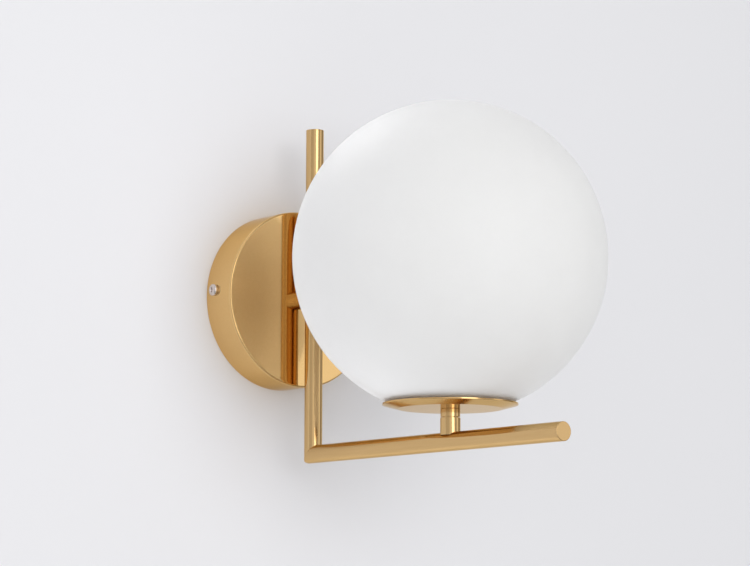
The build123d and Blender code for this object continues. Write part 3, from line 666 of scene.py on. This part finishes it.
def coped_sleeve(name, place, radius, bores, length, seat):
    """A sleeve that grows along Z from its place and ends on a tube that lies along its Y axis.

    seat is the height of the tube's axis above the sleeve's start; bores are (radius, depth)
    steps of the hole, narrowest last.
    """
    steps = TURN_STEPS
    wide, narrow = bores

    def end(x):
        if abs(x) >= TUBE_RADIUS:
            return length
        return min(length, seat - sqrt(TUBE_RADIUS ** 2 - x ** 2))

    rows = ((radius - SLEEVE_EDGE, 0), (radius, SLEEVE_EDGE),
            (radius, SLEEVE_GUARD * SLEEVE_EDGE), (radius, None), (narrow[0], None),
            (narrow[0], wide[1]), (wide[0], wide[1]), (wide[0], 0))
    points = []
    for row_radius, height in rows:
        for i in range(steps):
            turn = 2 * pi * i / steps
            x, y = row_radius * cos(turn), row_radius * sin(turn)
            points.append(place @ Vector((x, y, end(x) if height is None else height)))
    return tidy_mesh(mesh_piece(name, points, ring_faces(len(rows), steps)))


def arm_hub():
    """The short sleeve between the cover and the upright tube."""
    length = hub_high.y - hub_low.y
    bores = ((THREAD_HOLE, HUB_THREAD), (WIRE_HOLE, length))
    place = Matrix.Translation((0, -COVER_DEPTH, 0)) @ OUT_OF_WALL
    hub = coped_sleeve("arm_sleeve", place, hub_high.x, bores, length, -COVER_DEPTH - ARM_Y)
    return finish_piece(hub, "arm_hub", "lamp_body", brass_turned)


def riser_stem():
    """The sleeve that stands on the lower tube."""
    top = riser_high.z
    length = top - riser_low.z
    bores = ((THREAD_HOLE, top - (LOWER_Z + TUBE_RADIUS + RISER_FLOOR)), (WIRE_HOLE, length))
    place = Matrix.Translation((0, GLOBE_Y, top)) @ Matrix.Rotation(pi, 4, "Y")
    stem = coped_sleeve("riser_sleeve", place, riser_high.x, bores, length, top - LOWER_Z)
    return finish_piece(stem, "riser_stem", "lamp_body", brass_upright)


def riser_collar():
    """The turned spacer on the sleeve, with a fine groove where the two meet."""
    radius, height = collar_high.x, collar_high.z - collar_low.z
    outline = rounded([
        (THREAD_HOLE, 0, 0), (radius - GROOVE_DEPTH, 0, 0),
        (radius - GROOVE_DEPTH, GROOVE_HEIGHT, 0), (radius, GROOVE_HEIGHT, COLLAR_EDGE),
        (radius, height, COLLAR_TOP_EDGE), (THREAD_HOLE, height, 0)])
    collar = turned("riser_spacer", outline, on_globe_axis(collar_low.z))
    return finish_piece(collar, "riser_collar", "lamp_body", brass_upright)


def fitter_dish():
    """The saucer under the globe: a flat floor and a shallow cone with a softened rim."""
    rim = dish_high.x
    outline = rounded([
        (NIPPLE_HOLE, 0, 0), (DISH_FLOOR, 0, DISH_BEND), (rim, DISH_RISE, DISH_EDGE),
        (rim, DISH_RISE + DISH_SHEET, DISH_EDGE), (DISH_FLOOR, DISH_SHEET, DISH_BEND),
        (NIPPLE_HOLE, DISH_SHEET, 0)])
    dish = turned("dish", outline, on_globe_axis(dish_low.z), GLOBE_STEPS)
    return finish_piece(dish, "fitter_dish", "lamp_body", brass_turned)


# ---- Glass globe -----------------------------------------------------------------------
def glass_globe():
    """The blown globe: a shell with a ground flat below and a neck that turns up inside."""
    inner = GLOBE_RADIUS - GLASS
    centre = (0, GLOBE_Z - globe_low.z)
    neck_outside = MOUTH_RADIUS + GLASS
    ground_angle = atan2(-centre[1], GROUND_RADIUS)
    root_angle = -atan2(sqrt(inner ** 2 - neck_outside ** 2), neck_outside)
    neck = rounded([
        (GROUND_RADIUS, 0, 0), (MOUTH_RADIUS, 0, MOUTH_EDGE),
        (MOUTH_RADIUS, NECK_HEIGHT, NECK_EDGE), (neck_outside, NECK_HEIGHT, NECK_EDGE),
        (neck_outside, centre[1] + inner * sin(root_angle), 0)])
    outer = globe_arc(centre, GLOBE_RADIUS, pi / 2, ground_angle)
    inside = globe_arc(centre, inner, root_angle, pi / 2)
    globe = turned("globe_shell", outer + neck[1:-1] + inside, on_globe_axis(globe_low.z),
                   GLOBE_STEPS, closed=False)
    return finish_piece(globe, "glass_globe", "globe", opal_glass)


def globe_arc(centre, radius, start, end):
    """(radius, height) points on an arc, with angles from the outward axis."""
    steps = GLOBE_ARC_STEPS
    turns = [start + (end - start) * i / steps for i in range(steps + 1)]
    return [(max(0, centre[0] + radius * cos(t)), centre[1] + radius * sin(t)) for t in turns]


# ---- Screws, threaded tubes, washers and lampholder --------------------------------------
def shank_rows(radius, start, end, pitch):
    """Rows of outline points, close enough together for a thread to be cut into them."""
    count = max(2, round((end - start) / pitch * ROWS_PER_PITCH))
    return [(radius, start + (end - start) * i / count) for i in range(count + 1)]


def recess_tool(reach, half_width, top, depth):
    """A tapered cross that cuts the driver's recess."""
    corners = [(half_width, half_width), (reach, half_width), (reach, -half_width)]
    points = []
    for height, share in ((top + depth, 1), (top - depth, RECESS_TAPER)):
        for quarter in range(4):
            turn = Matrix.Rotation(-pi / 2 * quarter, 2)
            for x, y in corners:
                x, y = turn @ Vector((x * share, y * share))
                points.append(Vector((x, y, height)))
    rim = len(points) // 2
    faces = [tuple(range(rim)), tuple(reversed(range(rim, 2 * rim)))]
    for i in range(rim):
        j = (i + 1) % rim
        faces.append((i, rim + i, rim + j, j))
    return tidy_mesh(mesh_piece("recess_tool", points, faces))


def pan_head_screw(name, node, place, screw, length, head, body, material):
    """A machine screw: seat at height 0, domed head above it, threaded shank below."""
    diameter, pitch = screw
    head_width, head_height = head
    radius = diameter / 2
    tip = TIP_SHARE * diameter
    dome = rounded([
        (radius, 0, 0), (head_width / 2, 0, EDGE_BREAK / 2),
        (head_width / 2, head_height, DOME_SHARE * head_height), (0, head_height, 0)])
    outline = [(0, -length), (radius - tip, -length)]
    outline += shank_rows(radius, tip - length, 0, pitch) + dome[1:]
    piece = turned(name, outline, Matrix(), SCREW_STEPS, closed=False)
    made_by_rule(piece, thread_rule, Radius=radius, Band=SKIN, Depth=THREAD_SHARE * pitch,
                 Pitch=pitch, Start=-length, End=-pitch / 2, Rolled=0.0, Material=material)
    cut_away(piece, recess_tool(RECESS_REACH * head_width, RECESS_WIDTH * diameter, head_height,
                                RECESS_DEPTH * head_height))
    piece.data.transform(place)
    return finish_piece(tidy_mesh(piece), node, body, material)


def cover_screw(side, node, turn):
    """One of the two side screws that hold the cover on the bracket."""
    low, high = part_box(node)
    height, depth = (low.z + high.z) / 2, (low.y + high.y) / 2
    head_end = max(abs(low.x), abs(high.x))
    seat = head_end - PAN_HEAD[1]
    length = seat - min(abs(low.x), abs(high.x))
    place = Matrix.Translation((0, depth, height)) @ turn @ Matrix.Translation((0, 0, seat))
    return pan_head_screw(f"cover_screw_{side}_threaded", node, place, M4, length, PAN_HEAD,
                          f"screw_{side}", nickel_plate)


def inner_screw(name, node, screw, head, material):
    """A screw whose head faces the room, behind the cover."""
    low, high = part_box(node)
    seat = low.y + head[1]
    place = Matrix.Translation(((low.x + high.x) / 2, seat, (low.z + high.z) / 2)) @ OUT_OF_WALL
    return pan_head_screw(name, node, place, screw, high.y - seat, head, "lamp_body",
                          material)


def threaded_tube(name, node, place, length):
    """A running-thread tube with a plain bore."""
    end = NIPPLE_CHAMFER
    outline = [(NIPPLE_BORE, 0), (NIPPLE_RADIUS - end, 0)]
    outline += shank_rows(NIPPLE_RADIUS, end, length - end, NIPPLE_PITCH)
    outline += [(NIPPLE_RADIUS - end, length), (NIPPLE_BORE, length)]
    piece = turned(name, outline, Matrix(), NIPPLE_STEPS)
    made_by_rule(piece, thread_rule, Radius=NIPPLE_RADIUS, Band=SKIN,
                 Depth=THREAD_SHARE * NIPPLE_PITCH, Pitch=NIPPLE_PITCH, Start=0.0, End=length,
                 Rolled=0.0, Material=zinc_plate)
    piece.data.transform(place)
    return finish_piece(tidy_mesh(piece), node, "lamp_body", zinc_plate)


def threaded_tubes():
    """The one through the cover into the hub, and the one up through the dish."""
    low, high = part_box("arm_nipple")
    place = Matrix.Translation((0, high.y, 0)) @ OUT_OF_WALL
    threaded_tube("arm_threaded_tube", "arm_nipple", place, high.y - low.y)
    low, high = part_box("lamp_nipple")
    threaded_tube("lamp_threaded_tube", "lamp_nipple", on_globe_axis(low.z), high.z - low.z)


def toothed_washer(name, node, place):
    """A flat ring with twisted teeth round its rim."""
    low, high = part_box(node)
    outer = high.x
    sheet = min(high.y - low.y, high.z - low.z)
    tooth = TOOTH_SHARE * (outer - NIPPLE_HOLE)
    root = outer - tooth
    outline = [(NIPPLE_HOLE, 0), (root, 0), (root, sheet), (NIPPLE_HOLE, sheet)]
    piece = turned(name, outline, Matrix(), TURN_STEPS)
    size = (tooth * TOOTH_REACH, pi * outer / WASHER_TEETH * TOOTH_WIDTH, sheet * TOOTH_SHEET)
    made_by_rule(piece, tooth_rule, Count=WASHER_TEETH, Radius=outer - size[0] / 2, Tooth=size,
                 Twist=TOOTH_TWIST, Height=sheet / 2, Material=zinc_plate)
    piece.data.transform(place)
    return finish_piece(tidy_mesh(piece), node, "lamp_body", zinc_plate)


def toothed_washers():
    low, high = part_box("arm_lock_washer")
    toothed_washer("arm_toothed_washer", "arm_lock_washer", on_arm_axis(high.y))
    low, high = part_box("lamp_lock_washer")
    toothed_washer("lamp_toothed_washer", "lamp_lock_washer", on_globe_axis(low.z))


def rolled_sleeve(name, node, outline, radius, height, finish):
    """A thin metal sleeve with the lamp thread rolled into it."""
    body, slot, material = finish
    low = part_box(node)[0]
    piece = turned(name, outline, Matrix(), NIPPLE_STEPS)
    made_by_rule(piece, thread_rule, Radius=radius, Band=LAMP_BAND, Depth=LAMP_THREAD,
                 Pitch=LAMP_PITCH, Start=LAMP_RUN_IN, End=height - LAMP_RUN_OUT, Rolled=1.0,
                 Material=material)
    piece.data.transform(on_globe_axis(low.z))
    return finish_piece(tidy_mesh(piece), node, body, material)


def lamp_cap():
    """The bulb's screw cap."""
    low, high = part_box("bulb_cap")
    outer, height = high.x, high.z - low.z
    inner = outer - CAP_SHEET
    outline = shank_rows(outer, 0, height, LAMP_PITCH)
    outline += reversed(shank_rows(inner, 0, height, LAMP_PITCH))
    rolled_sleeve("lamp_cap", "bulb_cap", outline, (outer + inner) / 2, height,
                  ("bulb", "nickel", nickel_plate))


def lamp_screw_shell():
    """The screw shell inside the lampholder, with a hole in its floor for the contact."""
    low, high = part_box("holder_screw_shell")
    outer, height = high.x, high.z - low.z
    inner = outer - SHELL_SHEET
    outline = [(SHELL_HOLE, SHELL_SHEET), (SHELL_HOLE, 0)]
    outline += shank_rows(outer, 0, height, LAMP_PITCH)
    outline += reversed(shank_rows(inner, SHELL_SHEET, height, LAMP_PITCH))
    rolled_sleeve("screw_shell", "holder_screw_shell", outline, (outer + inner) / 2, height,
                  ("lamp_body", "nickel", nickel_plate))


def ribbed_sleeve():
    """The lampholder's upper skirt, with grooves for the hand."""
    low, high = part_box("holder_sleeve")
    radius, height = high.x, high.z - low.z
    inner = radius - HOLDER_WALL
    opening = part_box("holder_screw_shell")[1].x + SHELL_SLIP
    skirt = [(inner, 0), (radius - SKIRT_EDGE, 0)]
    skirt += shank_rows(radius, SKIRT_EDGE, height - 2 * HOLDER_WALL, SKIRT_PITCH)
    outline = skirt + rounded([
        (radius, height - 2 * HOLDER_WALL, 0), (radius, height, HOLDER_WALL),
        (opening, height, OPENING_EDGE), (opening, height - HOLDER_WALL, 0),
        (inner, height - HOLDER_WALL, 0)])[1:]
    piece = turned("ribbed_sleeve", outline, Matrix(), GRIP_STEPS)
    made_by_rule(piece, grip_rule, Radius=radius, Band=SKIN, Depth=GRIP_DEPTH, Count=GRIP_RIBS,
                 Share=GRIP_DEPTH * GRIP_RIBS / (2 * pi * radius), Start=GRIP_START,
                 End=GRIP_START + GRIP_LENGTH, Fade=GRIP_FADE, Material=holder_plastic)
    piece.data.transform(on_globe_axis(low.z))
    return finish_piece(tidy_mesh(piece), "holder_sleeve", "lamp_body",
                        holder_plastic)


# ---- Earth lead --------------------------------------------------------------------------
STRIPE_SIDE = Vector((-0.5, 0.7, 0.5)).normalized()
STRIPE_SHARE = 0.5           # cosine of half the stripe's angle round the lead


def striped_lead():
    """The earth lead with its yellow stripe along one side."""
    node = frame["nodes"]["earth_lead"]
    mesh = node.data.copy()
    mesh.transform(node.matrix_world)
    lead = bpy.data.objects.new("earth_lead_striped", mesh)
    bpy.context.scene.collection.objects.link(lead)
    finish_piece(tidy_mesh(lead), "earth_lead", "lamp_body", lead_green)
    mesh.materials.append(lead_yellow)
    for face in mesh.polygons:
        face.material_index = int(face.normal.dot(STRIPE_SIDE) > STRIPE_SHARE)


# ---- CAD nodes that keep their meshes ----------------------------------------------------
SLOT_FINISH = {
    "brass": brass_turned, "opal_glass": opal_glass, "zinc_steel": zinc_plate,
    "nickel": nickel_plate, "raw_brass": raw_brass, "white_plastic": white_plastic,
    "holder_plastic": holder_plastic, "ceramic": ceramic, "dome_plastic": dome_plastic,
    "black_glass": black_glass, "silicone": silicone, "lead_brown": lead_brown,
    "lead_blue": lead_blue, "lead_green": lead_green}


def dress_cad_nodes():
    """Gives each CAD node the finish of its slot in the record."""
    for part in frame["record"]["subparts"]:
        node = frame["nodes"][part["node"]]
        finish = SLOT_FINISH[part["material_slot"]]
        if not node.material_slots:
            node.data.materials.append(finish)
        for slot in node.material_slots:
            slot.material = finish


# ---- Wall, lights and camera -------------------------------------------------------------
WALL_WIDTH = 8.0
WALL_GAP = 0.3 * MM          # keeps the wall clear of the pieces that stand on it
WALL_TONE = (0.80, 0.80, 0.825)


def wall_paint():
    """Pale matt paint that lamps shine through, and that a view from behind sees through.

    So the lamps behind the wall reach the back of the globe, and the hidden side of the light
    can be looked at.
    """
    finish, nodes, links = new_finish("wall_paint")
    paint = nodes["Principled BSDF"]
    set_shader(paint, Base_Color=(*WALL_TONE, 1), Roughness=0.9, Specular_IOR_Level=0.2)
    clear = nodes.new("ShaderNodeBsdfTransparent")
    ray = nodes.new("ShaderNodeLightPath")
    side = nodes.new("ShaderNodeNewGeometry")
    either = nodes.new("ShaderNodeMath")
    either.operation = "MAXIMUM"
    mix = nodes.new("ShaderNodeMixShader")
    links.new(ray.outputs["Is Shadow Ray"], either.inputs[0])
    links.new(side.outputs["Backfacing"], either.inputs[1])
    links.new(either.outputs["Value"], mix.inputs["Fac"])
    links.new(paint.outputs["BSDF"], mix.inputs[1])
    links.new(clear.outputs["BSDF"], mix.inputs[2])
    links.new(mix.outputs["Shader"], nodes["Material Output"].inputs["Surface"])
    return finish


def wall():
    """The wall that the light hangs on."""
    half = WALL_WIDTH / 2
    corners = [(x * half, WALL_GAP, z * half) for x, z in ((-1, -1), (1, -1), (1, 1), (-1, 1))]
    plane = mesh_piece("wall", corners, [(0, 1, 2, 3)])
    wear(plane, wall_paint())


def soft_light(name, place, width, height, power):
    """A soft lamp that is turned towards the middle of the wall light."""
    data = bpy.data.lights.new(name, "AREA")
    data.shape = "RECTANGLE"
    data.size = width
    data.size_y = height
    data.energy = power
    lamp = bpy.data.objects.new(name, data)
    facing = (LIGHT_MIDDLE - Vector(place)).to_track_quat("-Z", "Y")
    lamp.matrix_world = Matrix.Translation(place) @ facing.to_matrix().to_4x4()
    bpy.context.scene.collection.objects.link(lamp)
    return lamp


LIGHT_MIDDLE = Vector((0, GLOBE_Y / 2, 0))
LAMP_DISTANCE = 2.2
# name, azimuth and elevation in degrees, width and height, watts
ROOM_LAMPS = (
    ("key", -12, 8, 1.05, 1.05, 12.5), ("key_left", -35, 8, 1.2, 1.2, 3.5),
    ("left_fill", -70, 8, 2.0, 2.0, 4.8), ("right_fill", 60, 10, 2.0, 2.0, 2.0),
    ("low_fill", -20, -35, 2.0, 2.0, 4.5))
MIRRORED_PANELS = (
    ("key_panel", -8, 4, 1.0, 1.9, 12.5), ("right_panel", 44, 14, 0.84, 1.9, 2.7))
# These two pass above and below the cover, and light the side of the globe that it mirrors.
REAR_LAMPS = (("rear_high", (0, 1.25, 1.5)), ("rear_low", (0, 1.25, -1.5)))
REAR_WIDTH = 0.8
REAR_POWER = 8.0
ROOM_LIGHT = 0.64            # of the room on matt surfaces
FLOOR_SHARE = 0.64           # of the room's brightness that is left towards the floor
FLOOR_START, FLOOR_END = -0.6, -0.05     # heights of the direction where it fades
# azimuth in degrees and brightness of the room that polished metal mirrors; both ends come first
ROOM_BY_AZIMUTH = [(-90, 0.65), (90, 0.34), (-57, 0.65), (-44, 0.93), (-31, 1.00), (-15, 0.90),
                   (10, 0.65), (21, 0.55), (60, 0.48), (75, 0.34)]
FULL_TURN = 360


def lamp_place(azimuth, elevation):
    """A place in the room: azimuth to the right of straight ahead of the wall, in degrees."""
    turn, rise = radians(azimuth), radians(elevation)
    return Vector((sin(turn) * cos(rise), -cos(turn) * cos(rise), sin(rise))) * LAMP_DISTANCE


def room_light(name, azimuth, elevation, width, height, power):
    """A soft lamp that faces the wall light and isn't mirrored by its metal."""
    lamp = soft_light(name, lamp_place(azimuth, elevation), width, height, power)
    lamp.visible_glossy = False
    return lamp


def mirrored_panel(name, azimuth, elevation, width, height, power):
    """A bright panel that only the polished metal and the glaze show."""
    panel = room_light(name, azimuth, elevation, width, height, power)
    panel.visible_glossy, panel.visible_diffuse = True, False


def mirrored_room(nodes, links):
    """How bright the room is that polished metal mirrors, by azimuth, and darker to the floor."""
    place = nodes.new("ShaderNodeTexCoord")
    split = nodes.new("ShaderNodeSeparateXYZ")
    links.new(place.outputs["Generated"], split.inputs["Vector"])
    ahead = nodes.new("ShaderNodeMath")
    ahead.operation = "MULTIPLY"
    ahead.inputs[1].default_value = -1
    links.new(split.outputs["Y"], ahead.inputs[0])
    turn = nodes.new("ShaderNodeMath")
    turn.operation = "ARCTAN2"
    links.new(split.outputs["X"], turn.inputs[0])
    links.new(ahead.outputs["Value"], turn.inputs[1])
    around = nodes.new("ShaderNodeValToRGB")
    share = ranged(nodes, links, turn.outputs["Value"], 0, 1, -pi, pi)
    links.new(share, around.inputs["Fac"])
    stops = around.color_ramp.elements
    for number, (azimuth, level) in enumerate(ROOM_BY_AZIMUTH):
        position = 0.5 + azimuth / FULL_TURN
        stop = stops[number] if number < 2 else stops.new(position)
        stop.position = position
        stop.color = (level, level, level, 1)
    floor = ranged(nodes, links, split.outputs["Z"], FLOOR_SHARE, 1, FLOOR_START,
                   FLOOR_END)
    both = nodes.new("ShaderNodeMath")
    both.operation = "MULTIPLY"
    links.new(around.outputs["Color"], both.inputs[0])
    links.new(floor, both.inputs[1])
    return both.outputs["Value"]


def lights():
    """A broad key from the left of the front, soft fill from the sides, and a pale room."""
    for lamp in ROOM_LAMPS:
        room_light(*lamp)
    for panel in MIRRORED_PANELS:
        mirrored_panel(*panel)
    for name, place in REAR_LAMPS:
        soft_light(name, place, REAR_WIDTH, REAR_WIDTH, REAR_POWER)
    world = bpy.data.worlds.new("studio")
    bpy.context.scene.world = world
    world.use_nodes = True
    nodes, links = world.node_tree.nodes, world.node_tree.links
    background = nodes["Background"]
    background.inputs["Color"].default_value = (1, 1, 1, 1)
    ray = nodes.new("ShaderNodeLightPath")
    seen = nodes.new("ShaderNodeMix")
    links.new(ray.outputs["Is Glossy Ray"], seen.inputs["Factor"])
    seen.inputs["A"].default_value = ROOM_LIGHT
    links.new(mirrored_room(nodes, links), seen.inputs["B"])
    plain = nodes.new("ShaderNodeMath")
    plain.operation = "MAXIMUM"
    links.new(seen.outputs["Result"], plain.inputs[0])
    links.new(ray.outputs["Is Camera Ray"], plain.inputs[1])
    links.new(plain.outputs["Value"], background.inputs["Strength"])


CAMERA_PLACE = Vector((-1.03530, -1.36922, -0.23320))
CAMERA_YAW = radians(39.326)
CAMERA_PITCH = radians(8.219)
CAMERA_ROLL = radians(0.146)
LENS = 120.72
SENSOR = 36


def camera():
    """The camera of the photo, from the fit of its outlines."""
    data = bpy.data.cameras.new("camera")
    data.sensor_fit = "HORIZONTAL"
    data.sensor_width = SENSOR
    data.lens = LENS
    forward = Vector((sin(CAMERA_YAW) * cos(CAMERA_PITCH), cos(CAMERA_YAW) * cos(CAMERA_PITCH),
                      sin(CAMERA_PITCH)))
    right = Vector((cos(CAMERA_YAW), -sin(CAMERA_YAW), 0))
    up = right.cross(forward)
    turned_right = right * cos(CAMERA_ROLL) + up * sin(CAMERA_ROLL)
    turned_up = up * cos(CAMERA_ROLL) - right * sin(CAMERA_ROLL)
    axes = Matrix((turned_right, turned_up, -forward)).transposed().to_4x4()
    view = bpy.data.objects.new("camera", data)
    view.matrix_world = Matrix.Translation(CAMERA_PLACE) @ axes
    bpy.context.scene.collection.objects.link(view)
    bpy.context.scene.camera = view


wall_cover()
vertical_tube()
horizontal_tube()
top_plug()
front_plug()
arm_hub()
riser_stem()
riser_collar()
fitter_dish()
glass_globe()
cover_screw("left", "cover_screw_left", TO_THE_LEFT)
cover_screw("right", "cover_screw_right", TO_THE_RIGHT)
inner_screw("earth_screw_threaded", "earth_screw", M4, PAN_HEAD, raw_brass)
inner_screw("block_screw_threaded", "block_screw", M3, SMALL_HEAD, zinc_plate)
threaded_tubes()
toothed_washers()
lamp_cap()
lamp_screw_shell()
ribbed_sleeve()
striped_lead()
dress_cad_nodes()
wall()
lights()
camera()
bpy.context.scene.view_settings.view_transform = "Standard"
